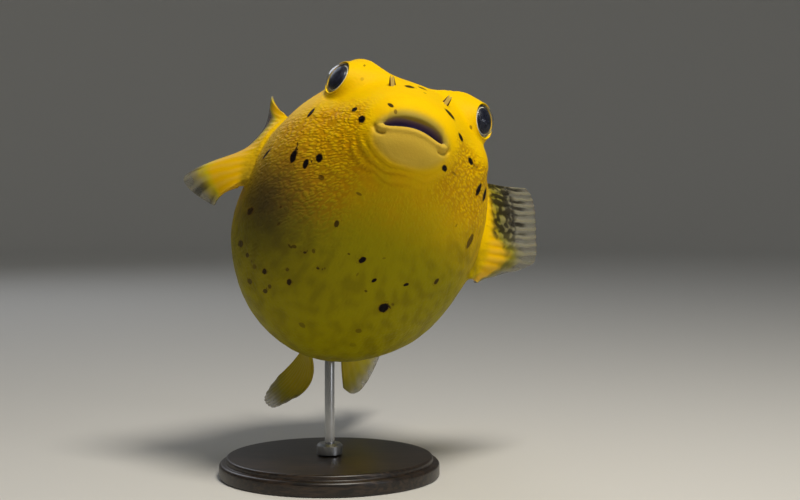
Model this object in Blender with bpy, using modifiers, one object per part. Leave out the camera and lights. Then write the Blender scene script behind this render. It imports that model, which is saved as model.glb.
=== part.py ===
"""Golden guineafowl puffer (Arothron meleagris), life size, belly partly filled with water,
turning towards the viewer as it swims, held on a plain display stand.

The fish is modelled in its own frame: snout tip at the origin, X to its left, Y towards the
tail, Z up. The empty named fish_pose then pitches, banks and turns it above the stand.
"""

import math

import bmesh
import bpy
import numpy as np
from mathutils import Matrix, Vector

# Driving dimensions: metres and degrees. Fractions are of the standard length.
STANDARD_LENGTH = 0.220
SNOUT_TIP = (0.043, -0.088, 0.172)
HEADING = 15.0
PITCH = 18.5
BANK = 19.5
GAP = 0.0003
SHARP_ANGLE = 50.0

# Where the thin cuts part the body, as fractions of the standard length.
LIPS_END = 0.022
HEAD_END = 0.325
TRUNK_END = 0.835

# The backbone droops a little and the tail swings to the fish's left. Each bend has a start and a run.
DROOP = 12.0
DROOP_START, DROOP_RUN = 0.12, 0.75
TAIL_SWING = -42.0
SWING_START, SWING_RUN = 0.55, 0.60
BACKBONE_END, BACKBONE_STEPS = 1.4, 560

# The belly is banked a little further than the head and the tail.
TWIST = 2.7
TWIST_START = 0.35

# Body sections: half width, back, belly and widest level at each station.
STATIONS = (0.0, 0.03, 0.08, 0.15, 0.22, 0.30, 0.40, 0.50, 0.60, 0.70, 0.80, 0.90, 1.0)
HALF_WIDTH = (0.055, 0.086, 0.122, 0.168, 0.217, 0.255, 0.271, 0.270, 0.249, 0.203, 0.142, 0.082, 0.044)
BACK = (0.042, 0.069, 0.109, 0.157, 0.188, 0.199, 0.199, 0.193, 0.177, 0.152, 0.120, 0.090, 0.072)
BELLY = (0.046, 0.076, 0.114, 0.178, 0.247, 0.308, 0.353, 0.372, 0.358, 0.300, 0.193, 0.104, 0.072)
WIDEST = (0.0, 0.0, 0.0, -0.010, -0.030, -0.060, -0.090, -0.105, -0.100, -0.075, -0.035, 0.0, 0.0)
ROUNDNESS_ABOVE = 2.12
ROUNDNESS_BELOW = 1.94
SNOUT_ROUNDING = 0.05
TAIL_ROUNDING = 0.03
END_FULLNESS = 2.4

# Facets round the body and along it, with the rings closer together towards the snout.
BODY_FACETS = (44, 38)
SNOUT_CROWDING = 0.4

# Eyes, the left one under 1 and the right one under -1. Each gaze is so far outwards and up. The eye
# lies in a round orbit of skin whose opening flares towards the gaze.
EYE_CENTRES = {1: (0.145, 0.178, 0.128), -1: (-0.144, 0.178, 0.116)}
EYE_RADIUS = 0.0095
EYE_OPENING = 0.0086
OPENING_FLARE = 1.6
GAZES = {1: (46.0, 5.0), -1: (66.0, 4.0)}
ORBIT_RADIUS = 0.0107
ORBIT_FLANK = 0.85
ORBIT_REACH = 1.5
ORBIT_BLEND = 0.0040
# Brows over both eyes and a cheek under the left one: middle, height and spread of each swelling.
SWELLINGS = (
    ((0.138, 0.195, 0.163), 0.044, 0.056),
    ((-0.130, 0.190, 0.172), 0.056, 0.053),
    ((0.172, 0.175, 0.038), 0.019, 0.050),
)
FINE_ROUND_EYE = 0.085
EYE_FACETS = (20, 12)
OPENING_FACETS = 24

# Mouth: a thin slit whose middle is arched up, between two swollen lips.
SLIT_HALF_HEIGHT = 0.0006
SLIT_ARCH = 14.0
LIP_SWELL = 0.007
LIP_HALF_WIDTH = 0.062
LIP_DEPTH = 0.030
LIP_FADE = 0.6
LIP_CUTTER_SIZE = (0.06, 0.03, 0.03)
LIP_CUTTER_FACETS = 24

# Nostril: a short flap with two lobes.
NOSTRIL_PLACE = (0.059, 0.090)
NOSTRIL_SIZE = (0.0024, 0.0015, 0.0056)
NOSTRIL_TURN = 17.0
NOTCH_DEPTH, NOTCH_HALF_WIDTH = 0.55, 0.35
NOSTRIL_FACETS = (12, 8)

# Fins: thickness at the root and at the margin, and the share of a ray that each part takes.
PECTORAL_ROOT = 0.0050
FIN_ROOT = 0.0026
FIN_MARGIN = 0.0008
BEDDED_SHARE = 0.12
THICK_SHARE, THICK_TAPER = 0.45, 1.5
ROUND_CORNERS, CORNER_SHARPNESS = 0.2, 5
LARGE_FIN_FACETS, SMALL_FIN_FACETS = (12, 7), (9, 6)

# Pectoral fins: the root runs down the flank at one station, at angles from the level; the tips are
# of five key rays from the top down, in the fish's frame. The left fin is spread, and the right one
# is gathered at its root and folded in the middle.
PECTORAL_STATION = 0.375
PECTORAL_BOW = (0.020, -0.006, 0.0)
PECTORAL_LEFT_ANGLES = (38.0, 28.0, 14.0, 2.0, -11.0)
PECTORAL_LEFT_TIPS = (
    (0.365, 0.430, 0.133),
    (0.394, 0.475, 0.107),
    (0.418, 0.500, 0.058),
    (0.434, 0.512, -0.003),
    (0.296, 0.541, -0.094),
)
PECTORAL_RIGHT_ANGLES = (33.0, 25.0, 15.0, 5.0, -6.0)
PECTORAL_RIGHT_TIPS = (
    (-0.268, 0.456, 0.162),
    (-0.246, 0.520, 0.094),
    (-0.277, 0.535, 0.021),
    (-0.402, 0.492, -0.090),
    (-0.317, 0.473, -0.155),
)

# The dorsal and anal fins stand opposite each other, both flapped to the fish's right. The bows say
# how far the middle of each key ray stands off to the left.
MEDIAN_STATIONS = (0.71, 0.79)
DORSAL_BOWS = (0.014, 0.014, 0.014, 0.014)
ANAL_BOWS = (0.040, 0.030, 0.022, 0.014)
DORSAL_TIPS = (
    (-0.040, 0.800, 0.225),
    (-0.048, 0.850, 0.225),
    (-0.040, 0.895, 0.185),
    (-0.010, 0.905, 0.125),
)
ANAL_TIPS = (
    (-0.002, 0.832, -0.432),
    (-0.024, 0.873, -0.444),
    (-0.044, 0.911, -0.423),
    (-0.047, 0.929, -0.384),
)

# The tail fin is a rounded fan on the end of the tail.
CAUDAL_STATION = 0.985
CAUDAL_LENGTH = 0.26
CAUDAL_SPREAD = 40.0
CAUDAL_ROOT = 0.055
CAUDAL_ROUNDING = 0.10
CAUDAL_LEAN, CAUDAL_BOW = 0.006, -0.008
CAUDAL_KEY_RAYS = 7

# Stand: a turned base, a collar and one rod.
BASE_RADIUS = 0.055
BASE_HEIGHT = 0.010
BASE_EDGE = 0.0015
BASE_EDGE_EASING = 0.3
BASE_FACETS = 48
COLLAR_RADIUS = 0.0065
COLLAR_HEIGHT = 0.006
COLLAR_TAPER = 0.8
COLLAR_FACETS = 32
ROD_RADIUS = 0.0025
ROD_TOP = 0.085
ROD_FACETS = 24


def through(values, at=STATIONS):
    """A smooth curve through the values that never swings past them."""
    x, y = np.array(at, float), np.array(values, float)
    step, rise = np.diff(x), np.diff(y) / np.diff(x)
    slope = np.zeros(len(x))
    for i in range(1, len(x) - 1):
        if rise[i - 1] * rise[i] > 0:
            before, after = 2 * step[i] + step[i - 1], step[i] + 2 * step[i - 1]
            slope[i] = (before + after) / (before / rise[i - 1] + after / rise[i])
    slope[0], slope[-1] = rise[0], rise[-1]

    def curve(s):
        s = np.clip(s, x[0], x[-1])
        i = np.clip(np.searchsorted(x, s) - 1, 0, len(step) - 1)
        t = (s - x[i]) / step[i]
        return (
            (2 * t**3 - 3 * t**2 + 1) * y[i]
            + (t**3 - 2 * t**2 + t) * step[i] * slope[i]
            + (3 * t**2 - 2 * t**3) * y[i + 1]
            + (t**3 - t**2) * step[i] * slope[i + 1]
        )

    return curve


half_width, back, belly, widest = (through(v) for v in (HALF_WIDTH, BACK, BELLY, WIDEST))


def ease(x):
    x = np.clip(x, 0, 1)
    return x * x * (3 - 2 * x)


def backbone():
    """Stations past the tail's end, with the place and the three directions at each."""
    s = np.linspace(0, BACKBONE_END, BACKBONE_STEPS + 1)
    down = -math.radians(DROOP) * ease((s - DROOP_START) / DROOP_RUN)
    swing = math.radians(TAIL_SWING) * ease((s - SWING_START) / SWING_RUN)
    along = np.stack([-np.sin(swing) * np.cos(down), np.cos(swing) * np.cos(down), np.sin(down)], -1)
    side = np.stack([np.cos(swing), np.sin(swing), np.zeros_like(s)], -1)
    steps = (along[1:] + along[:-1]) / 2 * (s[1] - s[0])
    place = np.concatenate([np.zeros((1, 3)), np.cumsum(steps, 0)])
    above = np.cross(side, along)
    twist = math.radians(TWIST) * ease(s / TWIST_START) * ease((1 - s) / TWIST_START)
    cos, sin = np.cos(twist)[:, None], np.sin(twist)[:, None]
    return s, place, side * cos - above * sin, along, above * cos + side * sin


BACKBONE = backbone()


def spine(s):
    """Place, left, backwards and up at stations s, for the unit fish."""
    return [np.stack([np.interp(s, BACKBONE[0], v[:, k]) for k in range(3)], -1) for v in BACKBONE[1:]]


def signed_power(x, power):
    return np.sign(x) * np.abs(x) ** power


def outline(s, angle):
    """Points of the body at stations s and angles round the section, 0 left and 90 degrees up."""
    closing = [
        np.sqrt(np.clip(1 - (1 - np.clip(depth / rounding, 0, 1)) ** END_FULLNESS, 0, 1))
        for depth, rounding in ((s, SNOUT_ROUNDING), (1 - s, TAIL_ROUNDING))
    ]
    full = closing[0] * closing[1]
    up = np.sin(angle)
    reach = np.where(up > 0, back(s) - widest(s), belly(s) + widest(s))
    power = 2 / np.where(up > 0, ROUNDNESS_ABOVE, ROUNDNESS_BELOW)
    x = half_width(s) * signed_power(np.cos(angle), power) * full
    z = (widest(s) + reach * signed_power(up, power)) * full
    place, side, _, above = spine(s)
    return place + side * x[..., None] + above * z[..., None]


def swelling(points):
    """How far the brows, the cheek and the lips stand out, at points of the unit fish."""
    out = np.zeros(len(points))
    for middle, height, spread in SWELLINGS:
        away = np.linalg.norm(points - np.array(middle), axis=1)
        out += height * np.exp(-((away / spread) ** 2))
    x, y, z = points.T
    over_slit = np.abs(z + SLIT_ARCH * STANDARD_LENGTH * x * x) / LIP_DEPTH
    roll = over_slit * np.exp(1 - over_slit)
    for away, limit in ((y, LIP_DEPTH), (np.abs(x), LIP_HALF_WIDTH)):
        roll *= ease((1 - away / limit) / LIP_FADE)
    return out + LIP_SWELL * roll


def at_eye(sign):
    """The eye's centre and the direction it looks in, in metres in the fish's frame."""
    out, up = (math.radians(v) for v in GAZES[sign])
    gaze = Vector((sign * math.sin(out), -math.cos(out), math.tan(up))).normalized()
    return Vector(EYE_CENTRES[sign]) * STANDARD_LENGTH, gaze


def with_orbits(points, grow):
    """The skin, in metres, raised along each gaze to a rounded mound that covers the eye."""
    for sign in (1, -1):
        centre, gaze = (np.array(v) for v in at_eye(sign))
        level = (points - centre) @ gaze
        away = np.linalg.norm(points - centre - level[:, None] * gaze, axis=1)
        ball = ORBIT_RADIUS + grow
        brink = ORBIT_FLANK * ball
        top = np.sqrt(ball**2 - brink**2)
        round_part = np.sqrt(np.clip(ball**2 - away**2, top**2, None))
        mound = round_part - np.clip(away - brink, 0, None) * brink / top
        share = np.clip(0.5 + 0.5 * (mound - level) / ORBIT_BLEND, 0, 1)
        rise = (mound - level) * share + ORBIT_BLEND * share * (1 - share)
        rise[level < -ORBIT_REACH * ball] = 0
        points = points + gaze * rise[:, None]
    return points


def collection(name):
    made = bpy.data.collections.new(name)
    bpy.context.scene.collection.children.link(made)
    return made


def material(name, colour, roughness, metallic=0.0):
    made = bpy.data.materials.new(name)
    made.use_nodes = True
    shader = made.node_tree.nodes["Principled BSDF"]
    shader.inputs["Base Color"].default_value = (*colour, 1)
    shader.inputs["Roughness"].default_value = roughness
    shader.inputs["Metallic"].default_value = metallic
    return made


def add(name, bm, look, group, parent=None):
    """A new object from a bmesh, smooth apart from its sharp edges."""
    mesh = bpy.data.meshes.new(name)
    bm.to_mesh(mesh)
    bm.free()
    mesh.shade_smooth()
    mesh.set_sharp_from_angle(angle=math.radians(SHARP_ANGLE))
    if look:
        mesh.materials.append(look)
    made = bpy.data.objects.new(name, mesh)
    group.objects.link(made)
    made.parent = parent
    if look is None:
        made.hide_render = True
        made.display_type = "WIRE"
    return made


def cut(obj, cutter):
    boolean = obj.modifiers.new(cutter.name, "BOOLEAN")
    boolean.operation = "DIFFERENCE"
    boolean.solver = "EXACT"
    boolean.object = cutter


def on_outline(directions):
    """Where points of a ball land on the body: its pole +Z on the snout, its pole -Z on the tail."""
    co = np.array(directions)
    co /= np.linalg.norm(co, axis=1)[:, None]
    share = (1 - co[:, 2]) / 2
    crowded = share * (1 - SNOUT_CROWDING + SNOUT_CROWDING * share)
    return outline(crowded, np.arctan2(co[:, 1], co[:, 0]))


def whole_body(grow=0.0):
    """The whole body as one closed mesh: a sphere whose poles are the snout and the tail's end."""
    bm = bmesh.new()
    bmesh.ops.create_uvsphere(bm, u_segments=BODY_FACETS[0], v_segments=BODY_FACETS[1], radius=1)
    places = on_outline([f.calc_center_median() for f in bm.faces])
    near = np.zeros(len(places), bool)
    for sign in (1, -1):
        near |= np.linalg.norm(places - np.array(EYE_CENTRES[sign]), axis=1) < FINE_ROUND_EYE
    edges = {e for f, close in zip(bm.faces, near) if close for e in f.edges}
    bmesh.ops.subdivide_edges(bm, edges=list(edges), cuts=1, use_grid_fill=True)
    bmesh.ops.triangulate(bm, faces=[f for f in bm.faces if len(f.verts) > 4])
    points = on_outline([v.co for v in bm.verts])
    for v, p in zip(bm.verts, points):
        v.co = p
    bmesh.ops.recalc_face_normals(bm, faces=bm.faces)
    bm.normal_update()
    normals = np.array([v.normal for v in bm.verts])
    points += normals * (swelling(points) + grow / STANDARD_LENGTH)[:, None]
    for v, p in zip(bm.verts, with_orbits(points * STANDARD_LENGTH, grow)):
        v.co = p
    return bm


def keep_between(bm, start=None, end=None):
    """Cuts the body square to the backbone at the stations, with half a gap left at each."""
    for station, sign in ((start, -1), (end, 1)):
        if station is None:
            continue
        place, _, along, _ = (Vector(v) for v in spine(np.array(station)))
        bmesh.ops.bisect_plane(
            bm,
            geom=[*bm.verts, *bm.edges, *bm.faces],
            plane_co=place * STANDARD_LENGTH - along * sign * GAP / 2,
            plane_no=along * sign,
            clear_outer=True,
        )
        rim = [e for e in bm.edges if e.is_boundary]
        bmesh.ops.holes_fill(bm, edges=rim, sides=0)
    bmesh.ops.recalc_face_normals(bm, faces=bm.faces)
    return bm


def lip_cutter(sign):
    """A block above (sign 1) or below (sign -1) the arched mouth slit, a slit's half height away."""
    bm = bmesh.new()
    width, depth, height = LIP_CUTTER_SIZE
    bmesh.ops.create_grid(bm, x_segments=LIP_CUTTER_FACETS, y_segments=1, size=0.5)
    for v in bm.verts:
        x = v.co.x * width
        v.co = (x, v.co.y * depth, -SLIT_ARCH * x * x - sign * SLIT_HALF_HEIGHT)
    made = bmesh.ops.extrude_face_region(bm, geom=bm.faces[:])
    for v in (g for g in made["geom"] if isinstance(g, bmesh.types.BMVert)):
        v.co.z = sign * height
    bmesh.ops.recalc_face_normals(bm, faces=bm.faces)
    return bm


def height_at(x, s):
    """The height of the back over the point x to the side at station s, for the unit fish."""
    angle = np.radians(np.arange(0, 90.5, 0.5))
    ring = outline(np.full(len(angle), s), angle)
    return np.interp(x, ring[::-1, 0], ring[::-1, 2])


def nostril(sign):
    """A flap standing on the snout, its top parted into two lobes."""
    bm = bmesh.new()
    bmesh.ops.create_uvsphere(bm, u_segments=NOSTRIL_FACETS[0], v_segments=NOSTRIL_FACETS[1], radius=1)
    for v in bm.verts:
        if v.co.z > 0:
            v.co.z *= 1 - NOTCH_DEPTH * math.exp(-((v.co.x / NOTCH_HALF_WIDTH) ** 2))
        v.co = Vector(a * b for a, b in zip(v.co, NOSTRIL_SIZE))
    x, s = NOSTRIL_PLACE
    place = Vector((sign * x, s, 0.0))
    place.z = float(height_at(x, s))
    turn = Matrix.Rotation(sign * math.radians(NOSTRIL_TURN), 4, "Y")
    bmesh.ops.transform(bm, matrix=Matrix.Translation(place * STANDARD_LENGTH) @ turn, verts=bm.verts)
    return bm


def fan(roots, tips, bow, facets):
    """A fin's sheet, spanned by rays that each bend from root to tip.

    roots and tips are key rays, from the leading one to the trailing one; bow is how far each
    ray's middle stands off its chord. The sheet starts inside the body.
    """
    across, along = facets
    key = np.linspace(0, 1, len(roots))
    u = np.linspace(0, 1, across + 1)
    root, tip, arch = (
        np.stack([through(np.array(v)[:, k], key)(u) for k in range(3)], -1) for v in (roots, tips, bow)
    )
    bm = bmesh.new()
    bmesh.ops.create_grid(bm, x_segments=across, y_segments=along, size=0.5)
    weight = bm.verts.layers.deform.verify()
    for v in bm.verts:
        i = round((v.co.x + 0.5) * across)
        end = 1 - ROUND_CORNERS * abs(2 * u[i] - 1) ** CORNER_SHARPNESS
        t = (end + BEDDED_SHARE) * (v.co.y + 0.5) - BEDDED_SHARE
        spot = root[i] * (1 - t) + tip[i] * t + arch[i] * 4 * max(t, 0) * (1 - t)
        v[weight][0] = max(0.0, 1 - max(t, 0) / THICK_SHARE) ** THICK_TAPER
        v.co = Vector(spot) * STANDARD_LENGTH
    return bm


def add_fin(name, sheet, thick):
    """The fin of a sheet: solid, thinning towards its margin, and cut clear of the body."""
    made = add(name, sheet, FIN, PARTS, pose)
    made.vertex_groups.new(name="thick")
    shell = made.modifiers.new("thickness", "SOLIDIFY")
    shell.thickness = thick
    shell.offset = 0
    shell.vertex_group = "thick"
    shell.thickness_vertex_group = FIN_MARGIN / thick
    cut(made, body_cutter)


# Clear the scene, then make the groups, the looks and the fish's pose.
for old in list(bpy.data.objects):
    bpy.data.objects.remove(old)
PARTS = collection("golden_puffer")
CUTTERS = collection("cutters")

SKIN = material("yellow_skin", (0.86, 0.56, 0.01), 0.45)
LIP = material("pale_lip", (0.62, 0.42, 0.07), 0.5)
EYE = material("dark_eye", (0.012, 0.011, 0.02), 0.08)
FIN = material("yellow_fin", (0.62, 0.40, 0.03), 0.5)
BASE = material("black_wood", (0.02, 0.02, 0.022), 0.4)
STEEL = material("brushed_steel", (0.55, 0.55, 0.56), 0.3, 1.0)

pose = bpy.data.objects.new("fish_pose", None)
PARTS.objects.link(pose)
pose.location = SNOUT_TIP
pose.rotation_mode = "YXZ"
pose.rotation_euler = (math.radians(-PITCH), math.radians(BANK), math.radians(HEADING))

body_cutter = add("body_cutter", whole_body(GAP), None, CUTTERS, pose)

# The body, parted behind the lips, ahead of the pectoral fins and at the root of the tail.
head = add("head", keep_between(whole_body(), LIPS_END, HEAD_END), SKIN, PARTS, pose)
add("trunk", keep_between(whole_body(), HEAD_END, TRUNK_END), SKIN, PARTS, pose)
add("tail", keep_between(whole_body(), TRUNK_END), SKIN, PARTS, pose)

# The lips: the snout's tip on either side of the mouth slit.
for name, sign in (("upper_lip", -1), ("lower_lip", 1)):
    lip = add(name, keep_between(whole_body(), None, LIPS_END), LIP, PARTS, pose)
    cut(lip, add(name + "_cutter", lip_cutter(sign), None, CUTTERS, pose))

# Eyes, nostrils and pectoral fins come in pairs.
for word, sign, angles, tips in (
    ("left", 1, PECTORAL_LEFT_ANGLES, PECTORAL_LEFT_TIPS),
    ("right", -1, PECTORAL_RIGHT_ANGLES, PECTORAL_RIGHT_TIPS),
):
    centre, gaze = at_eye(sign)
    turn = gaze.to_track_quat("Z", "Y").to_matrix().to_4x4()
    for name, radius, look in ((f"eye_{word}", EYE_RADIUS, EYE), (f"socket_{word}", EYE_RADIUS + GAP, None)):
        ball = bmesh.new()
        bmesh.ops.create_uvsphere(
            ball,
            u_segments=EYE_FACETS[0],
            v_segments=EYE_FACETS[1],
            radius=radius,
            matrix=Matrix.Translation(centre) @ turn,
        )
        made = add(name, ball, look, PARTS if look else CUTTERS, pose)
    cut(head, made)
    start = math.sqrt((EYE_RADIUS + GAP) ** 2 - EYE_OPENING**2)
    mouth_of_orbit = bmesh.new()
    bmesh.ops.create_cone(
        mouth_of_orbit,
        cap_ends=True,
        segments=OPENING_FACETS,
        radius1=EYE_OPENING,
        radius2=EYE_OPENING * OPENING_FLARE,
        depth=EYE_RADIUS,
        matrix=Matrix.Translation(centre + gaze * (start + EYE_RADIUS / 2)) @ turn,
    )
    cut(head, add(f"opening_{word}", mouth_of_orbit, None, CUTTERS, pose))

    cut(add(f"nostril_{word}", nostril(sign), SKIN, PARTS, pose), body_cutter)

    angle = np.radians(angles)
    roots = outline(np.full(len(angle), PECTORAL_STATION), angle if sign > 0 else math.pi - angle)
    outward = np.tile(PECTORAL_BOW, (len(roots), 1)) * (sign, 1, 1)
    add_fin(f"pectoral_fin_{word}", fan(roots, tips, outward, LARGE_FIN_FACETS), PECTORAL_ROOT)

for name, angle, bows, tips in (
    ("dorsal_fin", math.pi / 2, DORSAL_BOWS, DORSAL_TIPS),
    ("anal_fin", -math.pi / 2, ANAL_BOWS, ANAL_TIPS),
):
    stations = np.linspace(*MEDIAN_STATIONS, len(tips))
    roots = outline(stations, np.full(len(stations), angle))
    add_fin(name, fan(roots, tips, [(bow, 0, 0) for bow in bows], SMALL_FIN_FACETS), FIN_ROOT)

share = np.linspace(-1, 1, CAUDAL_KEY_RAYS)
place, side, along, above = spine(np.full(len(share), CAUDAL_STATION))
spread = np.radians(CAUDAL_SPREAD) * share
reach = CAUDAL_LENGTH * (1 - CAUDAL_ROUNDING * share**2)
roots = place + above * (CAUDAL_ROOT * share)[:, None]
outward = along * np.cos(spread)[:, None] + above * np.sin(spread)[:, None]
tips = roots + outward * reach[:, None] + side * CAUDAL_LEAN
add_fin("caudal_fin", fan(roots, tips, side * CAUDAL_BOW, LARGE_FIN_FACETS), FIN_ROOT)

# The stand: a turned base with an eased rim, a collar on it and the rod up to the belly.
rim = bmesh.new()
profile = [
    (0.0, BASE_HEIGHT),
    (BASE_RADIUS - BASE_EDGE, BASE_HEIGHT),
    (BASE_RADIUS - BASE_EDGE * BASE_EDGE_EASING, BASE_HEIGHT - BASE_EDGE * BASE_EDGE_EASING),
    (BASE_RADIUS, BASE_HEIGHT - BASE_EDGE),
    (BASE_RADIUS, BASE_EDGE),
    (BASE_RADIUS - BASE_EDGE, 0.0),
    (0.0, 0.0),
]
verts = [rim.verts.new((x, 0, z)) for x, z in profile]
for first, second in zip(verts, verts[1:]):
    rim.edges.new((first, second))
base = add("stand_base", rim, BASE, PARTS)
turned = base.modifiers.new("turned", "SCREW")
turned.steps = turned.render_steps = BASE_FACETS
turned.use_merge_vertices = True
turned.merge_threshold = 0.00001

collar = bmesh.new()
bmesh.ops.create_cone(
    collar,
    cap_ends=True,
    segments=COLLAR_FACETS,
    radius1=COLLAR_RADIUS,
    radius2=COLLAR_RADIUS * COLLAR_TAPER,
    depth=COLLAR_HEIGHT,
    matrix=Matrix.Translation((0, 0, BASE_HEIGHT + GAP + COLLAR_HEIGHT / 2)),
)
add("stand_collar", collar, STEEL, PARTS)

rod = bmesh.new()
rod_foot = BASE_HEIGHT + COLLAR_HEIGHT + 2 * GAP
bmesh.ops.create_cone(
    rod,
    cap_ends=True,
    segments=ROD_FACETS,
    radius1=ROD_RADIUS,
    radius2=ROD_RADIUS,
    depth=ROD_TOP - rod_foot,
    matrix=Matrix.Translation((0, 0, (ROD_TOP + rod_foot) / 2)),
)
cut(add("stand_rod", rod, STEEL, PARTS), body_cutter)
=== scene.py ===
import math

import bmesh
import bpy
import numpy as np
from mathutils import Matrix, Vector
from mathutils.noise import noise as perlin


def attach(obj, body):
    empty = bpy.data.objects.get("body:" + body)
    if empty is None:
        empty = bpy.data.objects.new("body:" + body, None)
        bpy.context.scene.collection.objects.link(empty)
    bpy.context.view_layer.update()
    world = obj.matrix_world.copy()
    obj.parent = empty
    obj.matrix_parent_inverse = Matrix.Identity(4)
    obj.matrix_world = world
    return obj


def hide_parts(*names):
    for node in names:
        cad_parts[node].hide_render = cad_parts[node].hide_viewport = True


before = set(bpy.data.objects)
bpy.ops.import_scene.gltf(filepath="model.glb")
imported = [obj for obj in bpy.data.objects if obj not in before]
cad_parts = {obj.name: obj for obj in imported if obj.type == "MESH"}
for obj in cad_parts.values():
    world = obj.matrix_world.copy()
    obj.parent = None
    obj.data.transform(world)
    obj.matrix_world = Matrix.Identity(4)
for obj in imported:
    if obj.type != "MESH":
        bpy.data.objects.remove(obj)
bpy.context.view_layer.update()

SCENE = bpy.context.scene


# ------------------------------
# Studio. A pale floor that turns up into a round wall a few metres off, so that no horizon
# shows from any side. Matt painted board; one large soft lamp above, weaker ones round it.
FLOOR_RADIUS = 2.2
WALL_BEND = 1.0
WALL_TOP = 2.6
BEND_POINTS, ROOM_STEPS = 19, 96
MERGE_DISTANCE = 1e-6


def linear(code):
    """The linear colour of an sRGB hex code, with alpha."""
    parts = [int(code[i : i + 2], 16) / 255 for i in (1, 3, 5)]
    return (*(p / 12.92 if p <= 0.04045 else ((p + 0.055) / 1.055) ** 2.4 for p in parts), 1.0)


def node(tree, kind, inputs=(), **settings):
    """Adds a shader node. Each input, by name or number, gets a value or another node's output."""
    made = tree.nodes.new("ShaderNode" + kind)
    for key, value in settings.items():
        setattr(made, key, value)
    for key, value in dict(inputs).items():
        if isinstance(value, bpy.types.NodeSocket):
            tree.links.new(value, made.inputs[key])
        else:
            made.inputs[key].default_value = value
    return made


def principled(name, values):
    """A new material with values on its Principled shader; also its node tree and the shader."""
    made = bpy.data.materials.new(name)
    made.use_nodes = True
    shader = made.node_tree.nodes["Principled BSDF"]
    for key, value in values.items():
        shader.inputs[key].default_value = value
    return made, made.node_tree, shader


def piece(name, bm, *looks):
    """A smooth-shaded object at the origin from a bmesh."""
    mesh = bpy.data.meshes.new(name)
    bm.to_mesh(mesh)
    bm.free()
    mesh.shade_smooth()
    for look in looks:
        mesh.materials.append(look)
    made = bpy.data.objects.new(name, mesh)
    SCENE.collection.objects.link(made)
    return made


def turned(profile, steps, turn=None):
    """A solid of revolution about Z from (radius, height) points that start and end on the axis."""
    bm = bmesh.new()
    verts = [bm.verts.new((r, 0, z)) for r, z in profile]
    edges = [bm.edges.new(pair) for pair in zip(verts, verts[1:])]
    circle = {"cent": (0, 0, 0), "axis": (0, 0, 1), "angle": 2 * math.pi}
    bmesh.ops.spin(bm, geom=verts + edges, steps=steps, use_merge=True, **circle)
    bmesh.ops.remove_doubles(bm, verts=bm.verts, dist=MERGE_DISTANCE)
    bmesh.ops.recalc_face_normals(bm, faces=bm.faces)
    if turn is not None:
        bmesh.ops.transform(bm, matrix=turn, verts=bm.verts)
    return bm


# Matt board, painted a warm pale grey.
board = {"Base Color": linear("#dedcd6"), "Roughness": 0.85}
painted_board, tree, shader = principled("painted_board", board)

bend = [
    (FLOOR_RADIUS + WALL_BEND * math.sin(a), WALL_BEND * (1 - math.cos(a)))
    for a in np.radians(np.linspace(0, 90, BEND_POINTS))
]
room = turned([(0, 0), *bend, (FLOOR_RADIUS + WALL_BEND, WALL_TOP)], ROOM_STEPS)
room.faces.ensure_lookup_table()
if min(room.faces, key=lambda f: f.calc_center_median().length).normal.z < 0:
    bmesh.ops.reverse_faces(room, faces=room.faces)
studio = piece("studio_floor", room, painted_board)

LAMPS = (
    # name, place, what it points at, size across, watts, colour
    ("key", (0.22, -0.42, 0.84), (0.02, 0.0, 0.15), 0.30, 6.6, "#fff9ee"),
    ("front", (1.05, -0.80, 0.38), (0.0, 0.0, 0.13), 0.45, 1.6, "#f4f7ff"),
    ("back", (-0.60, 1.10, 0.90), (0.0, 0.0, 0.12), 0.60, 2.4, "#eef3ff"),
)
for name, place, aim, size, watts, colour in LAMPS:
    lamp = bpy.data.lights.new(name, "AREA")
    lamp.shape = "DISK"
    lamp.size, lamp.energy, lamp.color = size, watts, linear(colour)[:3]
    holder = bpy.data.objects.new(name, lamp)
    holder.location = place
    holder.rotation_euler = (Vector(aim) - Vector(place)).to_track_quat("-Z", "Y").to_euler()
    SCENE.collection.objects.link(holder)

SCENE.world = SCENE.world or bpy.data.worlds.new("studio_air")
SCENE.world.use_nodes = True
air = SCENE.world.node_tree.nodes["Background"]
air.inputs["Color"].default_value = linear("#dfe4ea")
air.inputs["Strength"].default_value = 0.15
SCENE.view_settings.view_transform = "Standard"


# ------------------------------
# Camera. Level with the fish and a little to the right of its heading, two thirds of a metre from
# its snout, with a fairly long lens. The view is shifted down to show the stand's base.
viewer = bpy.data.cameras.new("viewer")
viewer.lens = 67.5
viewer.shift_y = -0.095
camera = bpy.data.objects.new("viewer", viewer)
camera.location = (0.0351, -0.748, 0.150)
camera.rotation_euler = (math.radians(90), 0, 0)
SCENE.collection.objects.link(camera)
SCENE.camera = camera


# ------------------------------
# Body skin. A puffer's skin is thick, scaleless and moist, and stretches over the water-filled
# belly. It is worked out in the fish's own frame (X to its left, Y to the tail, Z up, the snout's
# tip at the origin) and lies half a millimetre inside the solids.
STANDARD_LENGTH = 0.220
SNOUT_TIP = Vector((0.043, -0.088, 0.172))
HEADING, PITCH, BANK = 15.0, 18.5, 19.5
INSET = 0.0005

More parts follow.
